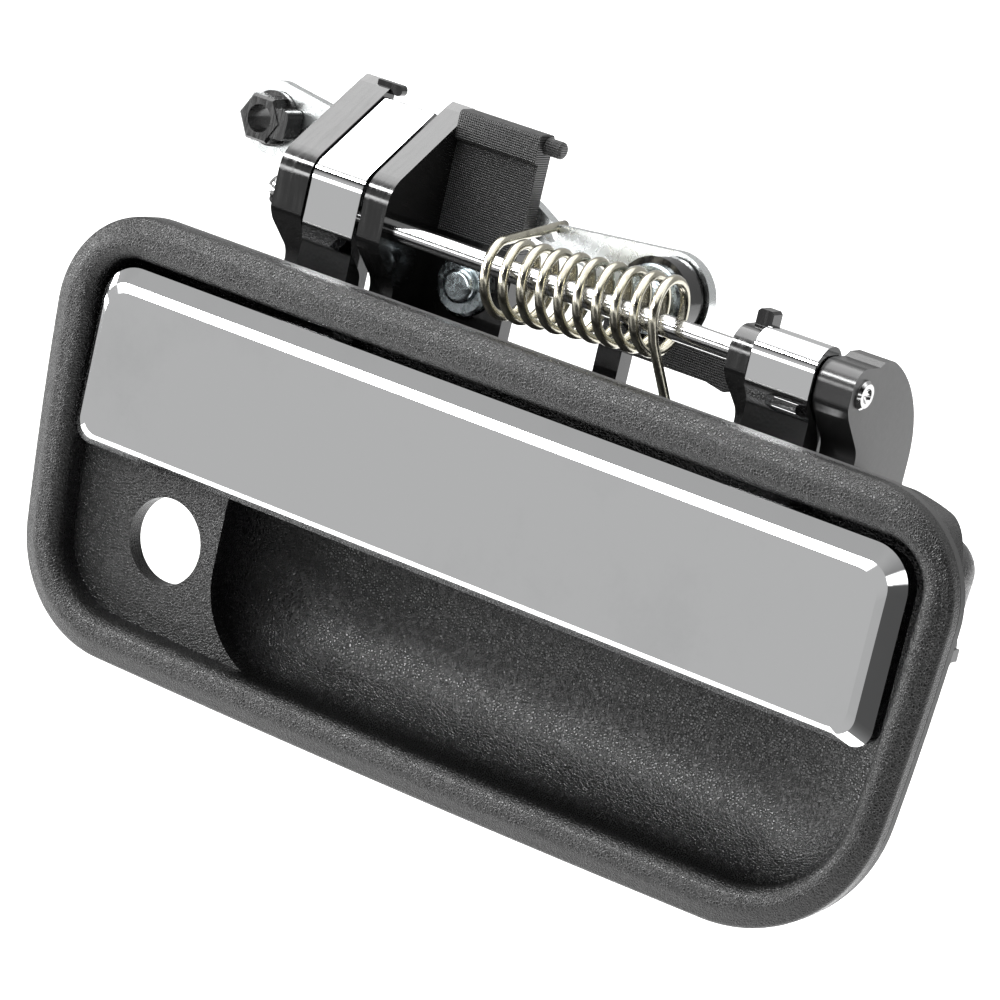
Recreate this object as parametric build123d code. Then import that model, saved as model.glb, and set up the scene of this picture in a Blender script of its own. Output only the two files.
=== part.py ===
from build123d import *
import os
from math import atan2, cos, degrees, radians, sin, sqrt

# Exterior door handle, left front door. X along the handle, -Y out of the door, +Z up.
# Origin: middle of the bezel on the door skin (plane y = 0).

# ---- bezel ----
bezel_half_length = 93.8
bezel_half_height = 40.7
bezel_projection = 5.8
gasket_thickness = 2.0
side_taper = 5.5
side_bow = 1.6
bottom_bow = 1.0
top_corner_radius = 19.0
lower_left_radius = 22.0
lower_right_radius = 29.0
outer_slope_width = 3.2
outer_slope_drop = 1.3
bead_outer_radius = 1.0
bead_crest_radius = 2.5
bead_inner_radius = 2.8

# ---- opening in the bezel ----
rim_left = 8.7
rim_right = 7.0
rim_top = 8.2
rim_bottom = 7.4
opening_top_radius = 8.0
opening_low_left_radius = 14.0
opening_low_right_radius = 21.0

# ---- finger cup and lock plate ----
wall = 2.5
cup_depth = 20.5
scoop_depth = 20.0
cup_left = -51.0
cup_corner_radius = 17.0
cup_left_curve = 17.0
cup_right_curve = 15.0
pocket_right_curve = 21.0
cup_floor_curve = 25.0
recess_floor = -3.0
lock_plate_thickness = 3.3
lock_bore_radius = 8.0
lock_x = -62.6
lock_z = -15.9

# ---- hinge ----
pin_y = 14.5
pin_above_bezel = 8.4
pin_radius = 2.0
running_clearance = 0.05
press_clearance = 0.01
paddle_travel = 30.0

# ---- paddle ----
paddle_gap_left = 1.2
paddle_gap_right = 1.3
paddle_gap_top = 1.2
paddle_bottom = -2.5
paddle_thickness = 4.2
paddle_skin = 1.8
paddle_flange = 2.2
bevel_depth = 1.1
crown_width = 1.6
crown_depth = 0.2
bevel_side = 3.2
bevel_top = 3.2
bevel_bottom = 1.2
paddle_top_radius = 7.5
paddle_low_radius = 3.5

# ---- arms of the paddle ----
horn_left = -55.7
horn_right = -44.7
barrel_left = 39.5
barrel_right = 51.9
slope_angle = 35.0
horn_reach = 3.6
horn_lift = 8.1
horn_thickness = 5.0
horn_tip_y = 30.0
barrel_radius = 4.9
leg_front_y = 12.0
leg_rear_y = 18.5
foot_top = 24.2
foot_height = 10.0
slot_gap = 0.5

# ---- towers ----
side_gap = 0.3
outer_ear_thickness = 6.8
inner_ear_thickness = 5.1
inner_ear_gap = 1.2
ear_reach = 4.1
ear_lift = 8.6
tower_rear_y = 31.5
tower_rise = 22.2
right_ear_thickness = 4.2
end_block_thickness = 7.0
end_block_rear_y = 37.2

# ---- rear plate, bar and lever boss ----
plate_front_y = 28.0
plate_thickness = 3.5
plate_right = -20.8
bar_front_y = 26.5
bar_thickness = 4.0
post_left = 0.5
post_width = 5.0

# ---- lever ----
lever_front_y = 32.2
lever_thickness = 2.5
pivot_x = 8.8
pivot_rise = 1.1
pivot_radius = 3.0
lever_end_radius = 8.3
eye_x = -81.0
eye_rise = 8.7
eye_radius = 7.0
eye_hole_radius = 3.6
lever_ratio = 0.24
tab_clearance = 0.8
tab_front_y = 25.5

# ---- return spring ----
coil_radius = 6.6
wire_radius = 0.9
coil_pitch = 3.85
coil_turns = 9.3
spring_start_x = -14.9
spring_tilt = 5.0

# ---- threaded inserts ----
insert_thread_radius = 2.5
insert_body_radius = 4.2
insert_flange_radius = 5.6
left_insert_x = -29.9
left_insert_drop = 8.0
right_insert_x = 72.0
right_insert_z = 9.0

# ---- derived ----
gasket_front = -gasket_thickness
front = -bezel_projection
opening_left = -bezel_half_length + rim_left
opening_right = bezel_half_length - rim_right
opening_top = bezel_half_height - rim_top
opening_bottom = -bezel_half_height + rim_bottom
horn_ear_right = horn_left - side_gap
outer_ear_left = horn_ear_right - outer_ear_thickness
inner_ear_left = horn_right + inner_ear_gap
inner_ear_right = inner_ear_left + inner_ear_thickness
right_ear_left = barrel_left - side_gap - right_ear_thickness
end_block_left = barrel_right + side_gap
end_block_right = end_block_left + end_block_thickness
pan_top = opening_top + wall
pin_z = bezel_half_height + pin_above_bezel
paddle_left = opening_left + paddle_gap_left
paddle_right = opening_right - paddle_gap_right
paddle_top = opening_top - paddle_gap_top
tower_top = pin_z + tower_rise
pivot_z = pin_z + pivot_rise
eye_z = pin_z + eye_rise
left_insert_z = pin_z - left_insert_drop
pan_back = cup_depth + wall
plate_rear_y = plate_front_y + plate_thickness
lever_rear_y = lever_front_y + lever_thickness


def slab_x(profile, x_from, x_to):
    return extrude(Plane.YZ.offset(x_from) * profile, x_to - x_from)


def slab_y(profile, y_front, y_rear):
    return extrude(Plane.XZ.offset(-y_rear) * profile, y_rear - y_front)


def slab_z(profile, z_from, z_to):
    return extrude(Plane.XY.offset(z_from) * profile, z_to - z_from)


def block(x_from, x_to, y_from, y_to, z_from, z_to):
    size = Box(x_to - x_from, y_to - y_from, z_to - z_from)
    return Pos((x_from + x_to) / 2, (y_from + y_to) / 2, (z_from + z_to) / 2) * size


def rod_x(y, z, radius, x_from, x_to):
    return slab_x(Pos(y, z) * Circle(radius), x_from, x_to)


def rod_y(x, z, radius, y_front, y_rear):
    return slab_y(Pos(x, z) * Circle(radius), y_front, y_rear)


def polygon(points):
    return make_face(Polyline(*points, close=True))


def round_corner(face, x, y, radius):
    vertex = min(face.vertices(), key=lambda v: (v.X - x) ** 2 + (v.Y - y) ** 2)
    return fillet(vertex, radius)


def rounded(points, radii):
    face = polygon(points)
    for (x, y), radius in zip(points, radii):
        if radius > 0:
            face = round_corner(face, x, y, radius)
    return face


def panel_outline(left, right, top, bottom, taper, bow, sag, radii):
    top_left = (left - bow / 2, top)
    top_right = (right + bow / 2, top)
    low_right = (right - taper, bottom)
    low_left = (left + taper, bottom)
    middle = (top + bottom) / 2
    edges = [
        Line(top_left, top_right),
        ThreePointArc(top_right, (right - taper / 2 + bow, middle), low_right),
        ThreePointArc(low_right, ((left + right) / 2, bottom - sag), low_left),
        ThreePointArc(low_left, (left + taper / 2 - bow, middle), top_left),
    ]
    face = make_face(edges)
    for (x, y), radius in zip((top_left, top_right, low_right, low_left), radii):
        face = round_corner(face, x, y, radius)
    return face


def bezel_outline(amount=0):
    radii = (top_corner_radius, top_corner_radius, lower_right_radius, lower_left_radius)
    return panel_outline(-bezel_half_length - amount, bezel_half_length + amount,
                         bezel_half_height + amount, -bezel_half_height + bottom_bow - amount,
                         side_taper, side_bow, bottom_bow, radii)


def opening_outline(amount=0):
    radii = (opening_top_radius, opening_top_radius, opening_low_right_radius,
             opening_low_left_radius)
    return panel_outline(opening_left - amount, opening_right + amount, opening_top + amount,
                         opening_bottom + bottom_bow - amount, side_taper * 0.7, side_bow,
                         bottom_bow, [radius + amount for radius in radii])


def grown(face, amount):
    return offset(face, amount) if amount else face


def front_edges(solid):
    return solid.faces().sort_by(Axis.Y)[0].outer_wire().edges()


def make_bezel():
    # a bead that is steep on the inside and falls away gently to the outer edge
    ring = slab_y(bezel_outline(), front, gasket_front)
    ring = ring - slab_y(opening_outline(), front - 1, gasket_front + 1)
    inner_edges = ring.faces().sort_by(Axis.Y)[0].inner_wires()[0].edges()
    ring = fillet(inner_edges, bead_inner_radius)
    ring = chamfer(front_edges(ring), outer_slope_width, outer_slope_drop)
    ring = fillet(front_edges(ring), bead_crest_radius)
    slope_foot = front + outer_slope_drop
    outer_edges = ring.edges().filter_by(lambda edge: abs(edge.center().Y - slope_foot) < 0.05)
    return fillet(outer_edges, bead_outer_radius)


def make_gasket():
    outer = slab_y(bezel_outline(-0.1), gasket_front, 0)
    outer = chamfer(front_edges(outer), 0.45)
    return outer - slab_y(opening_outline(wall), gasket_front - 1, 1) - cup_space(wall)


def scoop_outline(shrink, amount):
    bottom = opening_bottom - bottom_bow + cup_floor_curve * shrink
    left = cup_left + cup_left_curve * shrink
    right = opening_right + side_bow / 2 - cup_right_curve * shrink
    top = opening_top - 4
    points = [(left, top), (left, bottom), (right - side_taper * 0.7, bottom), (right, top)]
    return grown(rounded(points, (2.0, cup_corner_radius, opening_low_right_radius, 2.0)), amount)


def scoop_section(turn, amount):
    # the scoop where its wall has turned this many degrees towards the flat back
    shrink = 1 - cos(radians(turn))
    reach = (scoop_depth + amount - lock_plate_thickness) * sin(radians(turn))
    return Plane.XZ.offset(-lock_plate_thickness - reach) * scoop_outline(shrink, amount)


def make_scoop(amount):
    mouth = slab_y(scoop_outline(0, amount), gasket_front, lock_plate_thickness)
    return mouth + loft([scoop_section(turn, amount) for turn in (0, 20, 40, 58, 74, 90)])


def pocket_plan(amount):
    # seen from above: the right end of the pocket behind the paddle curves back
    left = opening_left - side_bow
    right = opening_right + side_bow + 1
    back_right = (right - pocket_right_curve, cup_depth)
    mid_curve = (right - pocket_right_curve * 0.45, cup_depth * 0.6)
    face = make_face([
        Line((left, -10), (left, cup_depth)),
        Line((left, cup_depth), back_right),
        ThreePointArc(back_right, mid_curve, (right, -1)),
        Line((right, -1), (right, -10)),
        Line((right, -10), (left, -10)),
    ])
    return grown(face, amount)


def cup_space(amount):
    pocket = slab_y(opening_outline(amount), gasket_front, cup_depth + amount)
    pocket = pocket & block(-150, 150, -50, 50, recess_floor - amount, 60)
    pocket = pocket & slab_z(pocket_plan(amount), -60, 60)
    return make_scoop(amount) + pocket


def arm_slot(x_from, x_to):
    return block(x_from - slot_gap, x_to + slot_gap, 0.8, cup_depth, opening_top - 4, pan_top + 2)


def make_finger_cup():
    shell = cup_space(wall) - cup_space(0)
    shell = shell - slab_y(opening_outline(), gasket_front - 1, 0)
    shell = shell - arm_slot(horn_left, horn_right) - arm_slot(barrel_left, barrel_right)
    return shell


def make_lock_plate():
    outline = opening_outline()
    plate = slab_y(opening_outline(wall), gasket_front, lock_plate_thickness)
    plate = plate - slab_y(outline, gasket_front - 1, 0)
    plate = plate - slab_y(scoop_outline(0, wall), -10, 10)
    plate = plate - block(-150, 150, -10, 10, recess_floor - wall, 60)
    plate = plate & block(-150, cup_left + cup_corner_radius, -10, 10, -60, 60)
    return plate - rod_y(lock_x, lock_z, lock_bore_radius, -10, 10)


def slope_height(y, lift):
    # height of a sloping face at depth y; lift is its square distance from the pin
    angle = radians(slope_angle)
    return pin_z + (lift + (y - pin_y) * sin(angle)) / cos(angle)


def ear_profile(base_z):
    nose = pin_y - ear_reach
    neck = pin_y + 3.7
    top_y = tower_rear_y - 2.0
    points = [
        (neck, pan_top),
        (neck, pin_z - 10.6),
        (nose + 1.2, pin_z - 4.6),
        (nose, pin_z - 2.6),
        (nose, slope_height(nose, ear_lift)),
        (top_y, slope_height(top_y, ear_lift)),
        (tower_rear_y, tower_top),
        (tower_rear_y, pan_top),
        (pan_back + 3, base_z),
        (pan_back, base_z),
        (pan_back, pan_top),
    ]
    return rounded(points, (0, 4.0, 3.0, 2.5, 6.0, 0, 0, 3.0, 0, 0, 0))


def make_outer_ear():
    ear = slab_x(ear_profile(-2), outer_ear_left, horn_ear_right)
    hook = block(horn_ear_right - 3, horn_ear_right + 2.6, 29.8, tower_rear_y, tower_top - 2.0,
                 tower_top)
    hook = fillet(hook.edges().filter_by(Axis.Y).sort_by(Axis.X)[-2:], 0.9)
    bore = rod_x(pin_y, pin_z, pin_radius + press_clearance, -100, 0)
    return ear + hook - bore


def make_inner_ear():
    ear = slab_x(ear_profile(-2), inner_ear_left, inner_ear_right)
    bore = rod_x(pin_y, pin_z, pin_radius + press_clearance, -100, 0)
    return ear - bore


def make_rear_plate():
    left = inner_ear_right
    plate = block(left, plate_right, plate_front_y, plate_rear_y, pin_z, tower_top - 1.5)
    lip = block(left, plate_right, plate_front_y - 1.2, plate_rear_y, tower_top - 5.5, tower_top)
    lip = fillet(lip.edges().filter_by(Axis.X), 0.8)
    peg = rod_x(plate_rear_y - 1.7, tower_top - 2.0, 1.6, plate_right, plate_right + 3.6)
    peg = fillet(peg.edges().sort_by(Axis.X)[-1], 0.7)
    return plate + lip + peg


def make_insert_plate():
    left = inner_ear_right
    plate = block(left, plate_right, plate_front_y, plate_rear_y, 22, pin_z)
    shelf = block(left, plate_right, pan_back, plate_rear_y, 18.5, 22)
    rib = block(plate_right - 2.4, plate_right, pan_back, plate_front_y, 22, pan_top - 2)
    hole = rod_y(left_insert_x, left_insert_z, insert_body_radius, 0, 60)
    return plate + shelf + rib - hole


def make_insert(x, z, y_front, y_rear, flanged):
    shape = rod_y(x, z, insert_body_radius, y_front, y_rear)
    if flanged:
        flange = rod_y(x, z, insert_flange_radius, y_front - 1.5, y_front)
        flange = chamfer(flange.edges().sort_by(Axis.Y)[0], 0.5)
        cap = rod_y(x, z, 3.3, y_front - 3.2, y_front - 1.5)
        shape = shape + flange + fillet(cap.edges().sort_by(Axis.Y)[0], 1.1)
    floor = 1.5 if not flanged else -1.0
    return shape - rod_y(x, z, insert_thread_radius, y_front + floor, y_rear + 1)


def make_insert_boss():
    boss = rod_y(right_insert_x, right_insert_z, 7.5, cup_depth * 0.6, plate_rear_y)
    boss = boss - cup_space(wall)
    gussets = None
    for angle in (0, 90, 180, 270):
        fin = block(0, 9, cup_depth * 0.6, plate_rear_y - 2, -1.1, 1.1)
        fin = Pos(right_insert_x, 0, right_insert_z) * Rot(0, angle, 0) * fin
        gussets = fin if gussets is None else gussets + fin
    hole = rod_y(right_insert_x, right_insert_z, insert_body_radius, pan_back + 1.0, 60)
    return boss + (gussets - cup_space(wall)) - hole


def make_lever_boss():
    boss = rod_y(pivot_x, pivot_z, 7.5, bar_front_y, bar_front_y + 5)
    return boss - rod_y(pivot_x, pivot_z, pivot_radius + press_clearance, 0, 60)


def make_cross_bar():
    points = [
        (post_left, pin_z - 9.6),
        (post_left, pin_z - 4.6),
        (right_ear_left, pin_z - 2.0),
        (right_ear_left, pin_z - 9.2),
        (right_ear_left - 5, pin_z - 9.0),
        (right_ear_left - 8, pin_z - 10.4),
        (right_ear_left - 12, pin_z - 9.6),
    ]
    bar = slab_y(rounded(points, (0, 0, 0, 0, 1.5, 2.0, 1.5)), bar_front_y, bar_front_y + bar_thickness)
    return bar - rod_y(pivot_x, pivot_z, 7.5, 0, 60)


def make_bar_post():
    post = block(post_left, post_left + post_width, bar_front_y, bar_front_y + bar_thickness, 20,
                 pin_z - 9.6)
    foot = block(post_left, post_left + post_width, pan_back, bar_front_y, 20, pan_top - 3)
    return post + foot


def right_nose(radius, rear_y, rear_top, base_z):
    nose = pin_y - radius
    neck = pin_y + 3.2
    points = [
        (neck, pan_top),
        (neck, pin_z - 10.6),
        (nose + 1.2, pin_z - 4.4),
        (nose, pin_z - 2.6),
        (nose, pin_z + radius + 0.6),
        (pin_y + radius, pin_z + radius + 0.6),
        (pin_y + radius + 1.5, rear_top),
        (rear_y, rear_top),
        (rear_y, base_z),
        (pan_back, base_z),
        (pan_back, pan_top),
    ]
    return points


def make_right_ear():
    rear = bar_front_y + bar_thickness
    points = right_nose(4.6, rear, pin_z - 1.0, 12)
    ear = slab_x(rounded(points, (0, 4, 3, 2, 4.5, 2.5, 2.5, 0, 0, 0, 0)), right_ear_left,
                 right_ear_left + right_ear_thickness)
    tab = block(right_ear_left + 1, right_ear_left + right_ear_thickness, pin_y + 0.5, pin_y + 3.5,
                pin_z + 4, pin_z + 8.2)
    tab = chamfer(tab.edges().filter_by(Axis.Y).sort_by(Axis.Z)[-2:], 0.5)
    bore = rod_x(pin_y, pin_z, pin_radius + press_clearance, 0, 100)
    return ear + tab - bore


def make_end_block():
    crown = pin_z + 5.3
    points = right_nose(3.9, end_block_rear_y, crown, 2)
    profile = rounded(points, (0, 4, 3, 2, 3.8, 0, 0, 0, 6, 0, 0))
    arc_centre = (end_block_rear_y - 22.5, crown - 18.5)
    back = Pos(*arc_centre) * Ellipse(22.5, 20.0)
    keep = back + make_face(Polyline((-5, -20), (end_block_rear_y, -20),
                                     (end_block_rear_y, arc_centre[1]), (arc_centre[0], arc_centre[1]),
                                     (arc_centre[0], 80), (-5, 80), close=True))
    cheek = slab_x(profile & keep, end_block_left, end_block_right)
    bore = rod_x(pin_y, pin_z, pin_radius + press_clearance, 0, 100)
    return cheek - bore


def make_shaft():
    left = outer_ear_left
    right = end_block_right
    shaft = rod_x(pin_y, pin_z, pin_radius, left - 1, right + 0.2)
    head = rod_x(pin_y, pin_z, 3.0, left - 3.4, left)
    head = fillet(head.edges().sort_by(Axis.X)[0], 2.2)
    swage = rod_x(pin_y, pin_z, 2.6, right, right + 0.9)
    swage = chamfer(swage.edges().sort_by(Axis.X)[-1], 0.5)
    dimple = Pos(right + 1.6, pin_y, pin_z) * Sphere(1.5)
    return shaft + head + swage - dimple


def horn_profile():
    nose = pin_y - horn_reach
    tip_low = slope_height(horn_tip_y, horn_lift - horn_thickness)
    points = [
        (leg_front_y, foot_top + 2),
        (leg_front_y, pin_z - 6.6),
        (nose, pin_z - 3.4),
        (nose, slope_height(nose, horn_lift)),
        (horn_tip_y - 1.0, slope_height(horn_tip_y - 1.0, horn_lift)),
        (horn_tip_y, tip_low + 3.6),
        (horn_tip_y, tip_low),
        (leg_rear_y, slope_height(leg_rear_y, horn_lift - horn_thickness)),
        (leg_rear_y, foot_top + 2),
    ]
    return rounded(points, (0, 2.5, 2.2, 5.0, 1.0, 0.8, 1.5, 3.0, 0))


def leg_and_foot():
    foot_low = foot_top - foot_height
    skin_back = front + paddle_skin
    points = [
        (skin_back, foot_low),
        (skin_back, foot_top),
        (leg_front_y, foot_top),
        (leg_front_y, foot_top + 2),
        (leg_rear_y, foot_top + 2),
        (leg_rear_y, foot_low + 3),
        (leg_rear_y - 6, foot_low),
    ]
    return rounded(points, (0, 0, 0, 0, 0, 1.5, 2.0))


def make_horn_arm():
    arm = slab_x(horn_profile() + leg_and_foot(), horn_left, horn_right)
    return arm - rod_x(pin_y, pin_z, pin_radius + running_clearance, -100, 100)


def barrel_profile():
    nose = pin_y - barrel_radius
    top = pin_z + barrel_radius + 1.2
    points = [
        (leg_front_y, foot_top + 2),
        (leg_front_y, pin_z - 6.6),
        (nose, pin_z - 3.8),
        (nose, top),
        (leg_rear_y, top),
        (leg_rear_y, foot_top + 2),
    ]
    return rounded(points, (0, 2.5, 3.2, 4.6, 3.8, 0))


def make_barrel_arm():
    arm = slab_x(barrel_profile() + leg_and_foot(), barrel_left, barrel_right)
    return arm - rod_x(pin_y, pin_z, pin_radius + running_clearance, -100, 100)


def paddle_face(inset_left, inset_right, inset_top, inset_bottom):
    left = paddle_left + inset_left
    right = paddle_right - inset_right
    top = paddle_top - inset_top
    bottom = paddle_bottom + inset_bottom
    shrink = min(inset_top, 3.0)
    points = [(left, bottom), (left, top), (right, top), (right, bottom)]
    radii = (paddle_low_radius, paddle_top_radius - shrink, paddle_top_radius - shrink,
             paddle_low_radius)
    return rounded(points, radii)


def make_paddle():
    back_y = front + paddle_thickness
    edge_y = front + bevel_depth
    base = slab_y(paddle_face(0, 0, 0, 0), edge_y, back_y)
    rear_face = Plane.XZ.offset(-edge_y) * paddle_face(0, 0, 0, 0)
    bevel_face = paddle_face(bevel_bottom, bevel_side, bevel_top, bevel_bottom)
    bevel_face = Plane.XZ.offset(-front - crown_depth) * bevel_face
    front_face = paddle_face(bevel_bottom + crown_width / 2, bevel_side + crown_width,
                             bevel_top + crown_width, bevel_bottom + crown_width / 2)
    front_face = Plane.XZ.offset(-front) * front_face
    shape = base + loft([rear_face, bevel_face]) + loft([bevel_face, front_face])
    pocket = slab_y(offset(paddle_face(0, 0, 0, 0), -paddle_flange), front + paddle_skin, back_y + 1)
    shape = shape - pocket
    # the top rear edge is relieved so that it swings past the bezel
    bezel_reach = sqrt((pin_y - front - bead_inner_radius) ** 2
                       + (pin_z - opening_top - bead_inner_radius) ** 2) + bead_inner_radius
    return shape - rod_x(pin_y, pin_z, bezel_reach + 0.4, -100, 100)


def make_lever():
    half = lever_end_radius
    points = [
        (eye_x, eye_z + eye_radius),
        (-58, pin_z + 12.4),
        (-56, pin_z + 10.9),
        (plate_right - 1.5, pin_z + 9.5),
        (plate_right + 3.5, pin_z + 6.8),
        (pivot_x, pivot_z + half),
        (pivot_x, pivot_z - half),
        (plate_right + 12, pivot_z),
        (plate_right - 3, pin_z + 3.9),
        (-46, pin_z + 3.9),
        (-58, pin_z + 1.4),
        (eye_x, eye_z - eye_radius),
    ]
    body = slab_y(rounded(points, (0, 0, 0, 2.5, 4.0, 0, 0, 6.0, 4.0, 4.0, 4.0, 0)), lever_front_y,
                  lever_rear_y)
    body = body + rod_y(pivot_x, pivot_z, half, lever_front_y, lever_rear_y)
    body = body + rod_y(eye_x, eye_z, eye_radius, lever_front_y, lever_rear_y)
    tab_top = slope_height(tab_front_y, horn_lift - horn_thickness) - tab_clearance
    tab = block(horn_left + 1.5, horn_right - 1.5, tab_front_y, lever_rear_y,
                tab_top - lever_thickness, tab_top)
    tab = fillet(tab.edges().filter_by(Axis.X).sort_by(Axis.Y)[-2:-1], 0.4)
    body = body + tab
    body = body - rod_y(pivot_x, pivot_z, pivot_radius + running_clearance, 0, 60)
    body = body - rod_y(eye_x, eye_z, eye_hole_radius, 0, 60)
    start = spring_path()[0]
    leg_hole = rod_y(start[0], start[2], wire_radius + 0.4, 0, 60)
    return body - leg_hole


def make_lever_rivet():
    flange = rod_y(pivot_x, pivot_z, 6.2, bar_front_y - 1.2, bar_front_y)
    flange = chamfer(flange.edges().sort_by(Axis.Y)[0], 0.4)
    dome = rod_y(pivot_x, pivot_z, 3.4, bar_front_y - 2.4, bar_front_y - 1.2)
    dome = fillet(dome.edges().sort_by(Axis.Y)[0], 0.9)
    shank = rod_y(pivot_x, pivot_z, pivot_radius, bar_front_y, lever_rear_y + 0.3)
    tail = rod_y(pivot_x, pivot_z, 4.6, lever_rear_y + 0.3, lever_rear_y + 1.9)
    tail = fillet(tail.edges().sort_by(Axis.Y)[-1], 1.0)
    return flange + dome + shank + tail


def make_rod_clip():
    fit = eye_hole_radius - 0.06
    neck = rod_y(eye_x, eye_z, fit, lever_front_y - 0.3, lever_rear_y + 0.3)
    collar = rod_y(eye_x, eye_z, 5.2, lever_front_y - 1.3, lever_front_y - 0.3)
    nut = slab_y(Pos(eye_x, eye_z) * RegularPolygon(4.9, 6), lever_front_y - 5.2, lever_front_y - 1.3)
    nut = chamfer(nut.faces().sort_by(Axis.Y)[0].edges(), 0.5)
    barb = rod_y(eye_x, eye_z, 4.6, lever_rear_y + 0.3, lever_rear_y + 2.2)
    arm = block(eye_x + 2.6, eye_x + 6.2, lever_front_y - 5.0, lever_front_y - 0.3, eye_z - 2.8,
                eye_z + 2.8)
    arm = fillet(arm.edges().filter_by(Axis.Y).sort_by(Axis.X)[-2:], 1.2)
    shape = neck + collar + nut + barb + arm
    return shape - rod_y(eye_x, eye_z, 2.6, lever_front_y - 6, lever_rear_y + 3)


def spring_path():
    # corner points of the wire ends and the coil between them
    coil = Helix(coil_pitch, coil_pitch * coil_turns, coil_radius, direction=(1, 0, 0))
    begin = coil @ 0
    turn = degrees(atan2(begin.Z, begin.Y))
    coil = Rot(90 - turn, 0, 0) * coil
    half = coil_pitch * coil_turns / 2
    coil = Pos(spring_start_x + half, pin_y, pin_z) * Rot(0, -spring_tilt, 0) * Pos(-half, 0, 0) * coil
    start = coil @ 0
    away = (coil % 0).normalized()
    leg_length = (lever_rear_y + 1.5 - start.Y) / abs(away.Y)
    end = start - away * leg_length
    return (end.X, end.Y, end.Z), coil


def make_spring():
    tip, coil = spring_path()
    start = coil @ 0
    stop = coil @ 1
    away = (coil % 1).normalized()
    bend = stop + away * 2.0
    low_z = pan_top + wire_radius + 0.3
    low = Vector(bend.X + 3.6, bend.Y + 3.4, low_z)
    path = Wire([Line(tip, start), coil, Line(stop, bend), Line(bend, low)])
    section = Plane(origin=tip, z_dir=start - Vector(*tip)) * Circle(wire_radius)
    return sweep(section, path=path, transition=Transition.ROUND)


def write_parts():
    os.makedirs("parts", exist_ok=True)
    insert_y = plate_front_y
    shapes = {
        "bezel": make_bezel(),
        "door_gasket": make_gasket(),
        "finger_cup": make_finger_cup(),
        "lock_plate": make_lock_plate(),
        "outer_ear": make_outer_ear(),
        "inner_ear": make_inner_ear(),
        "rear_plate": make_rear_plate(),
        "insert_plate": make_insert_plate(),
        "left_insert": make_insert(left_insert_x, left_insert_z, insert_y, plate_rear_y, True),
        "insert_boss": make_insert_boss(),
        "right_insert": make_insert(right_insert_x, right_insert_z, pan_back + 1.0, plate_rear_y,
                                    False),
        "lever_boss": make_lever_boss(),
        "cross_bar": make_cross_bar(),
        "bar_post": make_bar_post(),
        "right_ear": make_right_ear(),
        "end_block": make_end_block(),
        "hinge_shaft": make_shaft(),
        "paddle": make_paddle(),
        "horn_arm": make_horn_arm(),
        "barrel_arm": make_barrel_arm(),
        "lever": make_lever(),
        "lever_rivet": make_lever_rivet(),
        "rod_clip": make_rod_clip(),
        "return_spring": make_spring(),
    }
    for name, shape in shapes.items():
        export_step(shape, f"parts/{name}.step")
        print(name, len(shape.solids()), round(shape.volume, 1))


write_parts()
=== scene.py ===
import math

import bpy
from mathutils import Matrix, Vector


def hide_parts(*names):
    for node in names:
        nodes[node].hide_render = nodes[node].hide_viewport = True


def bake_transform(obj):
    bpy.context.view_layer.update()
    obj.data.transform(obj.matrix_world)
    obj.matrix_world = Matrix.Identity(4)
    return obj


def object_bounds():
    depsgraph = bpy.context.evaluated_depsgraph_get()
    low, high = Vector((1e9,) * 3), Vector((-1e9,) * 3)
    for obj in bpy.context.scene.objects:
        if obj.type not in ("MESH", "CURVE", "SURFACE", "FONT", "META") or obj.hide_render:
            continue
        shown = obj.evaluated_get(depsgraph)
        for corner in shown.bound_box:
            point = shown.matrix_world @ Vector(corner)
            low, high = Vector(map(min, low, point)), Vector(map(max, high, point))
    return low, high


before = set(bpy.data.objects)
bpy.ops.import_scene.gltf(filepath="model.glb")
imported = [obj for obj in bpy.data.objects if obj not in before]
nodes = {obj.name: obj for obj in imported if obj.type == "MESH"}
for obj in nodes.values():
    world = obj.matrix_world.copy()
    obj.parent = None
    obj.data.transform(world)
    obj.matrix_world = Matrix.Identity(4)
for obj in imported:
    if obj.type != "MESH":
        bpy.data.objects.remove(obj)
cadBox = [list(map(float, corner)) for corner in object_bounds()]
mm = 0.001
print("frame loaded:", len(nodes), "nodes")


# small helpers for node trees

def addNode(tree, kind, x=0, y=0, **values):
    node = tree.nodes.new("ShaderNode" + kind)
    node.location = (x, y)
    for name, value in values.items():
        socket = node.inputs.get(name.replace("_", " "))
        if socket is not None:
            socket.default_value = value
        else:
            setattr(node, name, value)
    return node


def link(tree, fromSocket, toSocket):
    tree.links.new(fromSocket, toSocket)


def newGroup(name, inputs, outputs):
    tree = bpy.data.node_groups.new(name, "ShaderNodeTree")
    for label, kind, value in inputs:
        socket = tree.interface.new_socket(label, in_out="INPUT", socket_type="NodeSocket" + kind)
        socket.default_value = value
    for label, kind in outputs:
        tree.interface.new_socket(label, in_out="OUTPUT", socket_type="NodeSocket" + kind)
    start = tree.nodes.new("NodeGroupInput")
    start.location = (-900, 0)
    end = tree.nodes.new("NodeGroupOutput")
    end.location = (900, 0)
    return tree, start.outputs, end.inputs


def useGroup(tree, group, x=0, y=0, **values):
    node = tree.nodes.new("ShaderNodeGroup")
    node.node_tree = group
    node.location = (x, y)
    for name, value in values.items():
        node.inputs[name.replace("_", " ")].default_value = value
    return node


def mathNode(tree, operation, first, second, x=0, y=0, clamp=False):
    node = addNode(tree, "Math", x, y, operation=operation, use_clamp=clamp)
    for index, value in enumerate((first, second)):
        if isinstance(value, (int, float)):
            node.inputs[index].default_value = value
        else:
            link(tree, value, node.inputs[index])
    return node.outputs[0]


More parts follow.
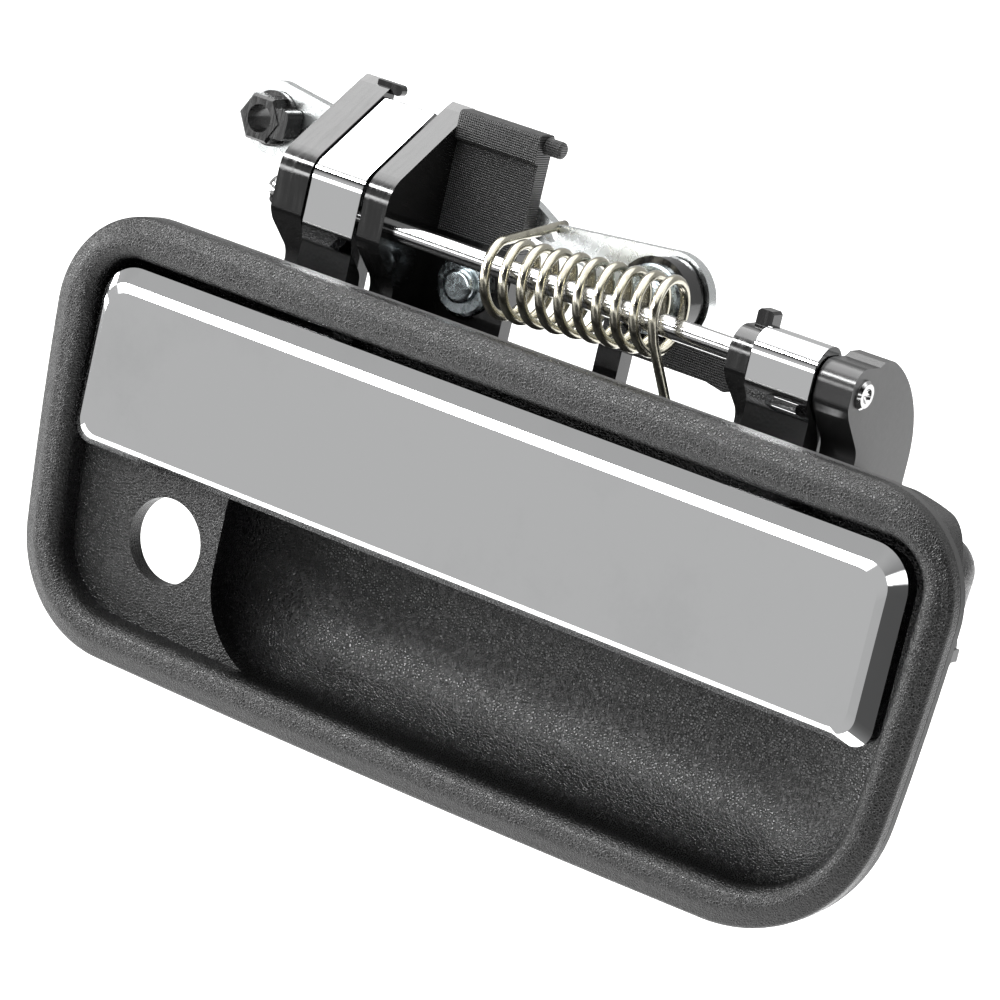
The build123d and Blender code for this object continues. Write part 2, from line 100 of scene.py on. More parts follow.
def mixColour(tree, factor, first, second, x=0, y=0):
    node = addNode(tree, "Mix", x, y, data_type="RGBA")
    link(tree, factor, node.inputs[0])
    for socket, value in ((node.inputs[6], first), (node.inputs[7], second)):
        if isinstance(value, tuple):
            socket.default_value = value
        else:
            link(tree, value, socket)
    return node.outputs[2]


def grey(value, warm=0.0):
    return (value * (1 + warm), value, value * (1 - warm), 1)


# shared effects

def buildLeatherGrain():
    # moulded leather: small rounded cells with narrow valleys and a little unevenness
    tree, ins, outs = newGroup("leatherGrain", [
        ("Vector", "Vector", (0, 0, 0)), ("Cell Size", "Float", 0.0006), ("Unevenness", "Float", 0.5),
    ], [("Height", "Float"), ("Valley", "Float")])
    frequency = mathNode(tree, "DIVIDE", 1.0, ins["Cell Size"], -700, -200)
    warp = addNode(tree, "TexNoise", -700, 200, Detail=2.0, Roughness=0.5)
    link(tree, ins["Vector"], warp.inputs["Vector"])
    link(tree, mathNode(tree, "MULTIPLY", frequency, 0.45, -700, 0), warp.inputs["Scale"])
    shift = addNode(tree, "VectorMath", -450, 200, operation="SCALE")
    link(tree, warp.outputs["Color"], shift.inputs[0])
    link(tree, mathNode(tree, "MULTIPLY", ins["Cell Size"], 0.9, -450, 0), shift.inputs["Scale"])
    place = addNode(tree, "VectorMath", -250, 200, operation="ADD")
    link(tree, ins["Vector"], place.inputs[0])
    link(tree, shift.outputs[0], place.inputs[1])
    cells = addNode(tree, "TexVoronoi", -50, 200, feature="DISTANCE_TO_EDGE", Randomness=1.0)
    link(tree, place.outputs[0], cells.inputs["Vector"])
    link(tree, frequency, cells.inputs["Scale"])
    dome = addNode(tree, "MapRange", 150, 200, interpolation_type="SMOOTHSTEP")
    dome.inputs["From Max"].default_value = 0.28
    link(tree, cells.outputs["Distance"], dome.inputs["Value"])
    fine = addNode(tree, "TexNoise", -50, -150, Detail=3.0, Roughness=0.6)
    link(tree, ins["Vector"], fine.inputs["Vector"])
    link(tree, mathNode(tree, "MULTIPLY", frequency, 1.7, -250, -200), fine.inputs["Scale"])
    rough = mathNode(tree, "MULTIPLY", fine.outputs["Fac"], ins["Unevenness"], 150, -100)
    link(tree, mathNode(tree, "ADD", dome.outputs["Result"], rough, 400, 100), outs["Height"])
    link(tree, mathNode(tree, "SUBTRACT", 1.0, dome.outputs["Result"], 400, -100), outs["Valley"])
    return tree


def buildDust():
    # pale dust that has settled on faces that look up, thinner where the noise says so
    tree, ins, outs = newGroup("settledDust", [
        ("Vector", "Vector", (0, 0, 0)), ("Amount", "Float", 0.2), ("Patch Size", "Float", 0.02),
    ], [("Mask", "Float")])
    patches = addNode(tree, "TexNoise", -500, 100, Detail=4.0, Roughness=0.65)
    link(tree, ins["Vector"], patches.inputs["Vector"])
    link(tree, mathNode(tree, "DIVIDE", 1.0, ins["Patch Size"], -700, -100), patches.inputs["Scale"])
    spread = addNode(tree, "MapRange", -250, 100, interpolation_type="SMOOTHSTEP")
    spread.inputs["From Min"].default_value = 0.35
    spread.inputs["From Max"].default_value = 0.75
    link(tree, patches.outputs["Fac"], spread.inputs["Value"])
    geometry = addNode(tree, "NewGeometry", -700, 300)
    parts = addNode(tree, "SeparateXYZ", -500, 300)
    link(tree, geometry.outputs["Normal"], parts.inputs[0])
    upward = mathNode(tree, "MAXIMUM", parts.outputs["Z"], 0.15, -250, 300)
    both = mathNode(tree, "MULTIPLY", spread.outputs["Result"], upward, 0, 200)
    link(tree, mathNode(tree, "MULTIPLY", both, ins["Amount"], 250, 150, clamp=True), outs["Mask"])
    return tree


def buildFlowMarks():
    # long soft streaks along one axis, as on drawn wire, ground steel or moulded plastic
    tree, ins, outs = newGroup("flowMarks", [
        ("Vector", "Vector", (0, 0, 0)), ("Squeeze", "Vector", (1, 1, 1)), ("Frequency", "Float", 400.0),
        ("Strength", "Float", 0.1),
    ], [("Height", "Float"), ("Change", "Float")])
    squeezed = addNode(tree, "VectorMath", -500, 100, operation="MULTIPLY")
    link(tree, ins["Vector"], squeezed.inputs[0])
    link(tree, ins["Squeeze"], squeezed.inputs[1])
    streaks = addNode(tree, "TexNoise", -250, 100, Detail=5.0, Roughness=0.6)
    link(tree, squeezed.outputs[0], streaks.inputs["Vector"])
    link(tree, ins["Frequency"], streaks.inputs["Scale"])
    link(tree, streaks.outputs["Fac"], outs["Height"])
    centred = mathNode(tree, "SUBTRACT", streaks.outputs["Fac"], 0.5, 100, -50)
    link(tree, mathNode(tree, "MULTIPLY", centred, ins["Strength"], 350, -50), outs["Change"])
    return tree


def buildSparkle():
    # zinc crystals: small flat patches that each shine a little differently
    tree, ins, outs = newGroup("zincBloom", [
        ("Vector", "Vector", (0, 0, 0)), ("Crystal Size", "Float", 0.0008), ("Contrast", "Float", 0.3),
    ], [("Tone", "Float"), ("Height", "Float")])
    frequency = mathNode(tree, "DIVIDE", 1.0, ins["Crystal Size"], -700, -100)
    crystals = addNode(tree, "TexVoronoi", -400, 150, feature="F1", Randomness=1.0)
    link(tree, ins["Vector"], crystals.inputs["Vector"])
    link(tree, frequency, crystals.inputs["Scale"])
    clouds = addNode(tree, "TexNoise", -400, -150, Detail=5.0, Roughness=0.6)
    link(tree, ins["Vector"], clouds.inputs["Vector"])
    link(tree, mathNode(tree, "MULTIPLY", frequency, 0.12, -550, -200), clouds.inputs["Scale"])
    parts = addNode(tree, "SeparateColor", -200, 150)
    link(tree, crystals.outputs["Color"], parts.inputs[0])
    both = mathNode(tree, "MULTIPLY", parts.outputs[0], 0.4, 0, 150)
    cloud = mathNode(tree, "MULTIPLY", clouds.outputs["Fac"], 0.6, 0, -100)
    total = mathNode(tree, "SUBTRACT", mathNode(tree, "ADD", both, cloud, 200, 50), 0.5, 350, 50)
    link(tree, mathNode(tree, "MULTIPLY", total, ins["Contrast"], 550, 50), outs["Tone"])
    link(tree, clouds.outputs["Fac"], outs["Height"])
    return tree


leatherGrain = buildLeatherGrain()
settledDust = buildDust()
flowMarks = buildFlowMarks()
zincBloom = buildSparkle()
print("shared effects built")


# finishes

def newMaterial(name):
    material = bpy.data.materials.new(name)
    material.use_nodes = True
    tree = material.node_tree
    shader = tree.nodes["Principled BSDF"]
    shader.location = (900, 0)
    tree.nodes["Material Output"].location = (1250, 0)
    place = addNode(tree, "TexCoord", -900, 0).outputs["Object"]
    return material, tree, shader, place


def addBump(tree, shader, height, distance, strength):
    bump = addNode(tree, "Bump", 600, -400, Strength=strength, Distance=distance)
    link(tree, height, bump.inputs["Height"])
    link(tree, bump.outputs["Normal"], shader.inputs["Normal"])


# the darker colour for the recesses of the grain is painted shade
grainedBlack = {
    "colour": 0.0030, "valleyShadeColour": 0.0014, "dustColour": 0.008, "dust": 0.10,
    "roughness": 0.26, "roughnessSpread": 0.10, "cellSize": 0.00050, "grainDepth": 0.00012,
    "grainStrength": 0.60, "specular": 0.34,
}


def makeGrainedBlack(name, look):
    material, tree, shader, place = newMaterial(name)
    grain = useGroup(tree, leatherGrain, -500, 0, Cell_Size=look["cellSize"], Unevenness=0.55)
    link(tree, place, grain.inputs["Vector"])
    dust = useGroup(tree, settledDust, -500, 300, Amount=look["dust"], Patch_Size=0.012)
    link(tree, place, dust.inputs["Vector"])
    # recesses of the grain get a darker colour than the crests: painted shade
    crest, valleyShade = grey(look["colour"]), grey(look["valleyShadeColour"])
    base = mixColour(tree, grain.outputs["Valley"], crest, valleyShade, -200, 100)
    base = mixColour(tree, dust.outputs["Mask"], base, grey(look["dustColour"]), 100, 150)
    link(tree, base, shader.inputs["Base Color"])
    spread = mathNode(tree, "MULTIPLY", grain.outputs["Valley"], look["roughnessSpread"], -200, -150)
    link(tree, mathNode(tree, "ADD", spread, look["roughness"], 50, -150), shader.inputs["Roughness"])
    shader.inputs["Specular IOR Level"].default_value = look["specular"]
    addBump(tree, shader, grain.outputs["Height"], look["grainDepth"], look["grainStrength"])
    return material


smoothBlack = {
    "colour": 0.005, "streakColour": 0.018, "roughness": 0.12, "roughnessSpread": 0.5,
    "flow": (3.0, 0.35, 0.25), "flowFrequency": 420.0, "depth": 0.00006, "strength": 0.4,
    "specular": 0.6,
}


def makeSmoothBlack(name, look):
    material, tree, shader, place = newMaterial(name)
    flow = useGroup(tree, flowMarks, -500, 0, Squeeze=look["flow"], Frequency=look["flowFrequency"],
                    Strength=look["roughnessSpread"])
    link(tree, place, flow.inputs["Vector"])
    ripple = addNode(tree, "TexNoise", -500, -350, Scale=260.0, Detail=2.0, Roughness=0.5)
    link(tree, place, ripple.inputs["Vector"])
    dust = useGroup(tree, settledDust, -500, 300, Amount=0.35, Patch_Size=0.006)
    link(tree, place, dust.inputs["Vector"])
    plain, streaked = grey(look["colour"]), grey(look["streakColour"])
    base = mixColour(tree, dust.outputs["Mask"], plain, streaked, -100, 150)
    link(tree, base, shader.inputs["Base Color"])
    link(tree, mathNode(tree, "ADD", flow.outputs["Change"], look["roughness"], 0, -100, clamp=True),
         shader.inputs["Roughness"])
    shader.inputs["Specular IOR Level"].default_value = look["specular"]
    height = mathNode(tree, "ADD", ripple.outputs["Fac"],
                      mathNode(tree, "MULTIPLY", flow.outputs["Height"], 0.5, -200, -300), 100, -350)
    addBump(tree, shader, height, look["depth"], look["strength"])
    return material


sparkedBlack = {
    "colour": 0.011, "dustColour": 0.04, "dust": 0.5, "roughness": 0.30, "dimpleRoughness": 0.14,
    "cellSize": 0.00085, "depth": 0.00016, "strength": 0.9, "specular": 0.55,
}


def makeSparkedBlack(name, look):
    # spark-eroded mould texture: an even field of small crossing dimples
    material, tree, shader, place = newMaterial(name)
    turned = addNode(tree, "VectorMath", -700, 0, operation="SCALE")
    turned.inputs["Scale"].default_value = 2 * math.pi / look["cellSize"]
    link(tree, place, turned.inputs[0])
    parts = addNode(tree, "SeparateXYZ", -520, 0)
    link(tree, turned.outputs[0], parts.inputs[0])
    across, along = parts.outputs["X"], parts.outputs["Z"]
    rising = mathNode(tree, "ADD", across, along, -360, 80)
    falling = mathNode(tree, "SUBTRACT", across, along, -360, -80)
    first = mathNode(tree, "SINE", rising, 0, -220, 80)
    second = mathNode(tree, "SINE", falling, 0, -220, -80)
    dimples = mathNode(tree, "MULTIPLY", first, second, -60, 0)
    noise = addNode(tree, "TexNoise", -360, -300, Scale=900.0, Detail=3.0, Roughness=0.6)
    link(tree, place, noise.inputs["Vector"])
    height = mathNode(tree, "ADD", dimples, noise.outputs["Fac"], 120, -150)
    shade = addNode(tree, "MapRange", 120, 150)
    shade.inputs["From Min"].default_value = -1.0
    shade.inputs["To Min"].default_value = look["roughness"] + look["dimpleRoughness"]
    shade.inputs["To Max"].default_value = look["roughness"]
    link(tree, dimples, shade.inputs["Value"])
    link(tree, shade.outputs["Result"], shader.inputs["Roughness"])
    dust = useGroup(tree, settledDust, -200, 400, Amount=look["dust"], Patch_Size=0.004)
    link(tree, place, dust.inputs["Vector"])
    base = mixColour(tree, dust.outputs["Mask"], grey(look["colour"]), grey(look["dustColour"]), 100, 400)
    link(tree, base, shader.inputs["Base Color"])
    shader.inputs["Specular IOR Level"].default_value = look["specular"]
    addBump(tree, shader, height, look["depth"], look["strength"])
    return material


# the lighter grey of the flat right side is painted light from the right
cheekBlack = {"colour": 0.010, "litSideColour": 0.045, "roughness": 0.22, "sideRoughness": 0.42}


def makeCheekBlack(name, look):
    # glossy on the nose and satin on the flat right side; the flat right side also gets a lighter grey,
    # painted light from the right
    material, tree, shader, place = newMaterial(name)
    geometry = addNode(tree, "NewGeometry", -700, 200)
    parts = addNode(tree, "SeparateXYZ", -520, 200)
    link(tree, geometry.outputs["True Normal"], parts.inputs[0])
    side = addNode(tree, "MapRange", -340, 200)
    side.inputs["From Min"].default_value = 0.85
    side.inputs["From Max"].default_value = 0.95
    link(tree, parts.outputs["X"], side.inputs["Value"])
    noise = addNode(tree, "TexNoise", -520, -150, Scale=900.0, Detail=4.0, Roughness=0.6)
    link(tree, place, noise.inputs["Vector"])
    clouds = addNode(tree, "TexNoise", -520, -400, Scale=55.0, Detail=2.0, Roughness=0.5)
    link(tree, place, clouds.inputs["Vector"])
    # faces that look right take a lighter grey here: painted light from the right, not the plastic's own
    # colour
    deep, pale = grey(look["litSideColour"] * 0.8), grey(look["litSideColour"] * 1.15)
    tone = mixColour(tree, clouds.outputs["Fac"], deep, pale, -100, 300)
    base = mixColour(tree, side.outputs["Result"], grey(look["colour"]), tone, 120, 250)
    link(tree, base, shader.inputs["Base Color"])
    rougher = look["sideRoughness"] - look["roughness"]
    extra = mathNode(tree, "MULTIPLY", side.outputs["Result"], rougher, -100, 0)
    grainy = mathNode(tree, "MULTIPLY", noise.outputs["Fac"], 0.12, -100, -150)
    both = mathNode(tree, "ADD", extra, grainy, 100, -50)
    total = mathNode(tree, "ADD", both, look["roughness"] - 0.06, 280, -50)
    link(tree, total, shader.inputs["Roughness"])
    addBump(tree, shader, noise.outputs["Fac"], 0.00005, 0.35)
    return material


sealRubber = {"colour": 0.024, "roughness": 0.55, "depth": 0.00008}


def makeSealRubber(name, look):
    material, tree, shader, place = newMaterial(name)
    pores = addNode(tree, "TexVoronoi", -500, 0, feature="F1", Scale=1500.0)
    link(tree, place, pores.inputs["Vector"])
    clouds = addNode(tree, "TexNoise", -500, 300, Scale=120.0, Detail=4.0, Roughness=0.6)
    link(tree, place, clouds.inputs["Vector"])
    deep, pale = grey(look["colour"] * 0.6), grey(look["colour"] * 1.5)
    base = mixColour(tree, clouds.outputs["Fac"], deep, pale, -100, 200)
    link(tree, base, shader.inputs["Base Color"])
    spread = mathNode(tree, "MULTIPLY", clouds.outputs["Fac"], 0.2, -100, -50)
    link(tree, mathNode(tree, "ADD", spread, look["roughness"] - 0.1, 100, -50), shader.inputs["Roughness"])
    addBump(tree, shader, pores.outputs["Distance"], look["depth"], 0.5)
    return material


chromePlate = {
    "colour": (0.82, 0.825, 0.83, 1), "hazeColour": (0.76, 0.765, 0.77, 1), "roughness": 0.02,
    "haze": 0.05, "waviness": 0.00003,
}


def makeChromePlate(name, look):
    # bright plating with a faint haze of handling and the slow ripple of a cast face
    material, tree, shader, place = newMaterial(name)
    haze = addNode(tree, "TexNoise", -500, 200, Scale=35.0, Detail=6.0, Roughness=0.65)
    link(tree, place, haze.inputs["Vector"])
    patches = addNode(tree, "MapRange", -250, 200, interpolation_type="SMOOTHSTEP")
    patches.inputs["From Min"].default_value = 0.5
    patches.inputs["From Max"].default_value = 0.8
    link(tree, haze.outputs["Fac"], patches.inputs["Value"])
    link(tree, mixColour(tree, patches.outputs["Result"], look["colour"], look["hazeColour"], 0, 200),
         shader.inputs["Base Color"])
    marks = useGroup(tree, flowMarks, -500, -100, Squeeze=(0.2, 1.0, 2.5), Frequency=900.0, Strength=0.02)
    link(tree, place, marks.inputs["Vector"])
    spread = mathNode(tree, "MULTIPLY", patches.outputs["Result"], look["haze"], -50, -50)
    total = mathNode(tree, "ADD", mathNode(tree, "ADD", spread, marks.outputs["Change"], 120, -50),
                     look["roughness"], 300, -50, clamp=True)
    link(tree, total, shader.inputs["Roughness"])
    shader.inputs["Metallic"].default_value = 1.0
    ripple = addNode(tree, "TexNoise", -500, -400, Scale=22.0, Detail=1.0, Roughness=0.4)
    link(tree, place, ripple.inputs["Vector"])
    addBump(tree, shader, ripple.outputs["Fac"], look["waviness"], 0.4)
    return material


polishedShaft = {
    "colour": grey(0.56), "dark": grey(0.4), "roughness": 0.12, "squeeze": (14.0, 1.0, 1.0),
    "frequency": 300.0, "depth": 0.00002,
}
springWire = {
    "colour": (0.50, 0.48, 0.40, 1), "dark": (0.30, 0.28, 0.22, 1), "roughness": 0.20,
    "squeeze": (1.0, 1.0, 1.0), "frequency": 1400.0, "depth": 0.00003,
}


def makeDrawnSteel(name, look):
    material, tree, shader, place = newMaterial(name)
    marks = useGroup(tree, flowMarks, -500, 0, Squeeze=look["squeeze"], Frequency=look["frequency"],
                     Strength=0.35)
    link(tree, place, marks.inputs["Vector"])
    stain = addNode(tree, "TexNoise", -500, 300, Scale=180.0, Detail=5.0, Roughness=0.65)
    link(tree, place, stain.inputs["Vector"])
    spread = addNode(tree, "MapRange", -250, 300, interpolation_type="SMOOTHSTEP")
    spread.inputs["From Min"].default_value = 0.45
    spread.inputs["From Max"].default_value = 0.75
    link(tree, stain.outputs["Fac"], spread.inputs["Value"])
    base = mixColour(tree, spread.outputs["Result"], look["colour"], look["dark"], 0, 200)
    link(tree, base, shader.inputs["Base Color"])
    shader.inputs["Metallic"].default_value = 1.0
    total = mathNode(tree, "ADD", marks.outputs["Change"], look["roughness"], 0, -50, clamp=True)
    link(tree, total, shader.inputs["Roughness"])
    addBump(tree, shader, marks.outputs["Height"], look["depth"], 0.5)
    return material


zincPlate = {
    "colour": (0.68, 0.70, 0.70, 1), "dark": (0.48, 0.50, 0.50, 1), "roughness": 0.27, "contrast": 0.5,
    "crystal": 0.0011, "depth": 0.00005,
}
rivetZinc = {
    "colour": (0.52, 0.57, 0.59, 1), "dark": (0.26, 0.31, 0.33, 1), "roughness": 0.24, "contrast": 1.1,
    "crystal": 0.0007, "depth": 0.00012,
}


def makeZinc(name, look):
    material, tree, shader, place = newMaterial(name)
    bloom = useGroup(tree, zincBloom, -500, 0, Crystal_Size=look["crystal"], Contrast=look["contrast"])
    link(tree, place, bloom.inputs["Vector"])
    factor = mathNode(tree, "ADD", bloom.outputs["Tone"], 0.35, -200, 100, clamp=True)
    link(tree, mixColour(tree, factor, look["colour"], look["dark"], 50, 150), shader.inputs["Base Color"])
    shader.inputs["Metallic"].default_value = 1.0
    change = mathNode(tree, "MULTIPLY", bloom.outputs["Tone"], 0.35, -200, -100)
    total = mathNode(tree, "ADD", change, look["roughness"], 50, -100, clamp=True)
    link(tree, total, shader.inputs["Roughness"])
    addBump(tree, shader, bloom.outputs["Height"], look["depth"], 0.5)
    return material


grainedMaterial = makeGrainedBlack("grainedBlack", grainedBlack)
cupMaterial = makeGrainedBlack("grainedCup", {**grainedBlack, "cellSize": 0.00052, "dust": 0.15})
smoothMaterial = makeSmoothBlack("smoothBlack", smoothBlack)
sparkedMaterial = makeSparkedBlack("sparkedBlack", sparkedBlack)
cheekMaterial = makeCheekBlack("cheekBlack", cheekBlack)
rubberMaterial = makeSealRubber("sealRubber", sealRubber)
chromeMaterial = makeChromePlate("chromePlate", chromePlate)
shaftMaterial = makeDrawnSteel("polishedShaft", polishedShaft)
springMaterial = makeDrawnSteel("springWire", springWire)
leverMaterial = makeZinc("zincLever", zincPlate)
rivetMaterial = makeZinc("zincRivet", rivetZinc)
clipMaterial = makeSmoothBlack("clipBlack", {**smoothBlack, "roughness": 0.25, "flowFrequency": 900.0})

finishes = {
    "bezel": grainedMaterial, "finger_cup": cupMaterial, "lock_plate": grainedMaterial,
    "door_gasket": rubberMaterial, "outer_ear": smoothMaterial, "inner_ear": smoothMaterial,
    "rear_plate": sparkedMaterial, "insert_plate": smoothMaterial, "insert_boss": smoothMaterial,
    "lever_boss": smoothMaterial, "cross_bar": sparkedMaterial, "bar_post": smoothMaterial,
    "right_ear": smoothMaterial, "end_block": cheekMaterial, "left_insert": rivetMaterial,
    "right_insert": rivetMaterial, "lever_rivet": rivetMaterial, "lever": leverMaterial,
    "hinge_shaft": shaftMaterial, "return_spring": springMaterial, "rod_clip": clipMaterial,
    "paddle": chromeMaterial, "horn_arm": chromeMaterial, "barrel_arm": chromeMaterial,
}
for name, material in finishes.items():
    piece = nodes[name]
    piece.data.materials.clear()
    piece.data.materials.append(material)
print("finishes assigned")


# return spring, as one wire between the housing and the release lever

springWind = {
    "axis": (14.5, 49.1), "coilStart": -14.9, "coilRadius": 6.6, "wireRadius": 0.9, "pitch": 3.85,
    "turns": 9.3, "tilt": 5.0, "leverEnd": 36.2, "restHeight": 36.1, "bendReach": 2.0,
    "footAcross": 3.6, "footBack": 3.4, "givesFrom": 18.0, "givesTo": 32.0,
    "around": 14, "stepsPerTurn": 40, "legSteps": 12, "bendSteps": 3, "footSteps": 8,
}


def springLine(wind):
    # centre line in millimetres, from the lever leg through the coil to the resting leg
    half = wind["pitch"] * wind["turns"] / 2
    tilt = math.radians(wind["tilt"])
    centre = Vector((wind["coilStart"] + half, wind["axis"][0], wind["axis"][1]))

    def onCoil(turn):
        angle = turn * 2 * math.pi
        x = wind["pitch"] * turn - half
        y = -wind["coilRadius"] * math.sin(angle)
        z = wind["coilRadius"] * math.cos(angle)
        across = x * math.cos(tilt) - z * math.sin(tilt)
        above = x * math.sin(tilt) + z * math.cos(tilt)
        return centre + Vector((across, y, above))

    count = int(wind["turns"] * wind["stepsPerTurn"])
    coil = [onCoil(wind["turns"] * step / count) for step in range(count + 1)]
    away = (coil[0] - coil[1]).normalized()
    reach = (wind["leverEnd"] - coil[0].y) / away.y
    legSteps, bendSteps, footSteps = wind["legSteps"], wind["bendSteps"], wind["footSteps"]
    firstLeg = [coil[0] + away * reach * share / legSteps for share in range(legSteps, 0, -1)]
    onward = (coil[-1] - coil[-2]).normalized()
    bend = coil[-1] + onward * wind["bendReach"]
    foot = Vector((bend.x + wind["footAcross"], bend.y + wind["footBack"], wind["restHeight"]))
    lastLeg = [coil[-1].lerp(bend, share / bendSteps) for share in range(1, bendSteps + 1)]
    lastLeg += [bend.lerp(foot, share / footSteps) for share in range(1, footSteps + 1)]
    return firstLeg + coil + lastLeg


def sweepWire(name, line, radius, around):
    points = [point * mm for point in line]
    verts, faces = [], []
    side = Vector((1, 0, 0))
    for index, point in enumerate(points):
        ahead = points[min(index + 1, len(points) - 1)] - points[max(index - 1, 0)]
        ahead.normalize()
        side = (side - ahead * side.dot(ahead)).normalized()
        up = ahead.cross(side)
        for corner in range(around):
            angle = corner * 2 * math.pi / around
            verts.append(point + (side * math.cos(angle) + up * math.sin(angle)) * radius * mm)
    for ring in range(len(points) - 1):
        for corner in range(around):
            after = (corner + 1) % around
            low, high = ring * around, (ring + 1) * around
            faces.append((low + corner, low + after, high + after, high + corner))
    faces.append(tuple(reversed(range(around))))
    faces.append(tuple(range((len(points) - 1) * around, len(points) * around)))
    mesh = bpy.data.meshes.new(name)
    mesh.from_pydata(verts, [], faces)
    mesh.validate()
    mesh.update()
    for face in mesh.polygons:
        face.use_smooth = len(face.vertices) == 4
    wire = bpy.data.objects.new(name, mesh)
    bpy.context.scene.collection.objects.link(wire)
    return wire


wireLine = springLine(springWind)
woundSpring = sweepWire("woundSpring", wireLine, springWind["wireRadius"], springWind["around"])
woundSpring.data.materials.append(springMaterial)
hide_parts("return_spring")
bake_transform(woundSpring)
print("spring wound with", len(wireLine), "rings")


# floor, light and camera

studio = {
    "floorDrop": 0.34, "floorFront": -0.55, "floorBack": 9.0, "floorHalfWidth": 7.0,
    "floorColour": 0.88, "floorGlow": 0.55,
    "shadeBand": (-0.28, 0.12), "highBand": (0.60, 0.75), "backBand": (-0.15, 0.25),
    "airStrength": 5.0, "rightShade": 0.16, "backGrey": 0.11,
    "keySize": (1.1, 0.7), "keyPower": 10.0, "keyPlace": (-0.45, -0.05, 1.15),
    "leftSize": (0.6, 0.5), "leftPower": 7.0, "leftPlace": (-1.2, -0.5, 0.02),
    "stripSize": (1.1, 0.14), "stripPower": 23.0, "stripPlace": (-0.6, -0.78, 0.66),
    "rightSize": (0.5, 0.8), "rightPower": 2.0, "rightPlace": (1.0, 0.55, 0.55),
}
# how bright the air is from straight down to straight up, as (share of the way up, tone)
airTones = [
    (0.470, 0.105), (0.488, 2.4), (0.532, 2.4), (0.552, 0.12), (0.640, 0.085), (0.700, 0.008),
    (0.790, 0.008), (0.865, 0.46), (1.000, 0.52),
]


def makeFloor():
    side, near, far = studio["floorHalfWidth"], studio["floorFront"], studio["floorBack"]
    mesh = bpy.data.meshes.new("studioFloor")
    corners = [(-side, near, 0), (side, near, 0), (side, far, 0), (-side, far, 0)]
    mesh.from_pydata(corners, [], [(0, 1, 2, 3)])
    floor = bpy.data.objects.new("studioFloor", mesh)
    bpy.context.scene.collection.objects.link(floor)
    floor.location.z = cadBox[0][2] - studio["floorDrop"]
    material, tree, shader, place = newMaterial("paleFloor")
    mottle = addNode(tree, "TexNoise", -400, 0, Scale=3.0, Detail=2.0, Roughness=0.5)
    link(tree, place, mottle.inputs["Vector"])
    pale = studio["floorColour"]
    colour = mixColour(tree, mottle.outputs["Fac"], grey(pale), grey(pale * 1.02), 0, 0)
    link(tree, colour, shader.inputs["Base Color"])
    shader.inputs["Roughness"].default_value = 0.8
    shader.inputs["Specular IOR Level"].default_value = 0.2
    shader.inputs["Emission Color"].default_value = grey(1.0)
    shader.inputs["Emission Strength"].default_value = studio["floorGlow"]
    mesh.materials.append(material)


def addPanel(name, size, power, place):
    light = bpy.data.lights.new(name, "AREA")
    light.shape = "RECTANGLE"
    light.size, light.size_y = size
    light.energy = power
    lamp = bpy.data.objects.new(name, light)
    bpy.context.scene.collection.objects.link(lamp)
    lamp.location = place
    lamp.rotation_euler = (-Vector(place)).to_track_quat("-Z", "Y").to_euler()


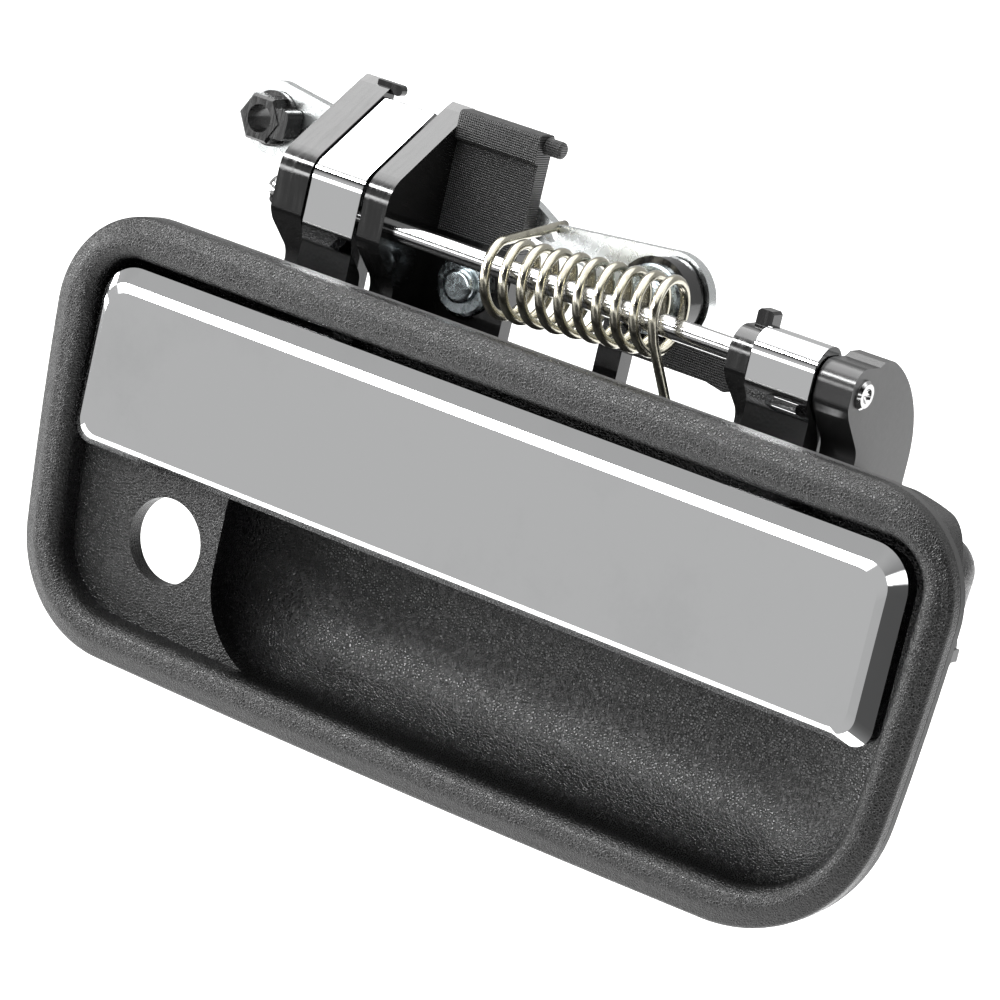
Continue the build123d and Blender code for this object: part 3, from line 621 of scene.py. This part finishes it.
def makeAir():
    # the room: a pale strip at eye level, a dark band above it in front, a bright ceiling
    world = bpy.data.worlds.new("studioAir")
    bpy.context.scene.world = world
    world.use_nodes = True
    tree = world.node_tree
    air = tree.nodes["Background"]
    parts = addNode(tree, "SeparateXYZ", -1000, 0)
    link(tree, addNode(tree, "TexCoord", -1200, 0).outputs["Generated"], parts.inputs[0])
    rise = mathNode(tree, "MULTIPLY_ADD", parts.outputs["Z"], 0.5, -800, 0)
    rise.node.inputs[2].default_value = 0.5
    ramp = addNode(tree, "ValToRGB", -600, 0)
    stops = ramp.color_ramp.elements
    stops[0].position, stops[0].color = airTones[0][0], grey(airTones[0][1])
    stops[1].position, stops[1].color = airTones[-1][0], grey(airTones[-1][1])
    for position, tone in airTones[1:-1]:
        stops.new(position).color = grey(tone)
    link(tree, rise, ramp.inputs["Fac"])
    shade = addNode(tree, "MapRange", -600, 300, interpolation_type="SMOOTHSTEP")
    shade.inputs["From Min"].default_value = studio["shadeBand"][0]
    shade.inputs["From Max"].default_value = studio["shadeBand"][1]
    shade.inputs["To Min"].default_value = 1.0
    shade.inputs["To Max"].default_value = studio["rightShade"]
    link(tree, parts.outputs["X"], shade.inputs["Value"])
    high = addNode(tree, "MapRange", -600, 560, interpolation_type="SMOOTHSTEP")
    high.inputs["From Min"].default_value = studio["highBand"][0]
    high.inputs["From Max"].default_value = studio["highBand"][1]
    link(tree, parts.outputs["Z"], high.inputs["Value"])
    shaded = mathNode(tree, "MAXIMUM", shade.outputs["Result"], high.outputs["Result"], -380, 400)
    front = addNode(tree, "VectorMath", -300, 100, operation="SCALE")
    link(tree, ramp.outputs["Color"], front.inputs[0])
    link(tree, shaded, front.inputs["Scale"])
    behind = addNode(tree, "MapRange", -600, -300, interpolation_type="SMOOTHSTEP")
    behind.inputs["From Min"].default_value = studio["backBand"][0]
    behind.inputs["From Max"].default_value = studio["backBand"][1]
    link(tree, parts.outputs["Y"], behind.inputs["Value"])
    notHigh = mathNode(tree, "SUBTRACT", 1.0, high.outputs["Result"], -380, -150)
    share = mathNode(tree, "MULTIPLY", behind.outputs["Result"], notHigh, -200, -200)
    colour = mixColour(tree, share, front.outputs[0], grey(studio["backGrey"]), -80, 0)
    link(tree, colour, air.inputs["Color"])
    air.inputs["Strength"].default_value = studio["airStrength"]


def makeLight():
    makeAir()
    for side in ("key", "strip", "left", "right"):
        addPanel(side + "Panel", studio[side + "Size"], studio[side + "Power"], studio[side + "Place"])


cameraSet = {
    "azimuth": 31.0, "elevation": 13.25, "roll": 13.15, "distance": 0.764, "lens": 162.0,
    "aim": (7.57 * mm, -5.8 * mm, 15.4 * mm),
}


def makeCamera():
    turn = math.radians(cameraSet["azimuth"])
    rise = math.radians(cameraSet["elevation"])
    roll = math.radians(cameraSet["roll"])
    back = Vector((math.sin(turn) * math.cos(rise), -math.cos(turn) * math.cos(rise), math.sin(rise)))
    level = Vector((math.cos(turn), math.sin(turn), 0))
    upright = back.cross(level)
    right = level * math.cos(roll) + upright * math.sin(roll)
    up = upright * math.cos(roll) - level * math.sin(roll)
    lens = bpy.data.cameras.new("productCamera")
    lens.lens = cameraSet["lens"]
    lens.sensor_width = 36.0
    camera = bpy.data.objects.new("productCamera", lens)
    bpy.context.scene.collection.objects.link(camera)
    place = Vector(cameraSet["aim"]) + back * cameraSet["distance"]
    camera.matrix_world = Matrix((
        (right.x, up.x, back.x, place.x),
        (right.y, up.y, back.y, place.y),
        (right.z, up.z, back.z, place.z),
        (0, 0, 0, 1),
    ))
    bpy.context.scene.camera = camera


makeFloor()
makeLight()
makeCamera()
bpy.context.scene.view_settings.view_transform = "Standard"
print("studio ready")
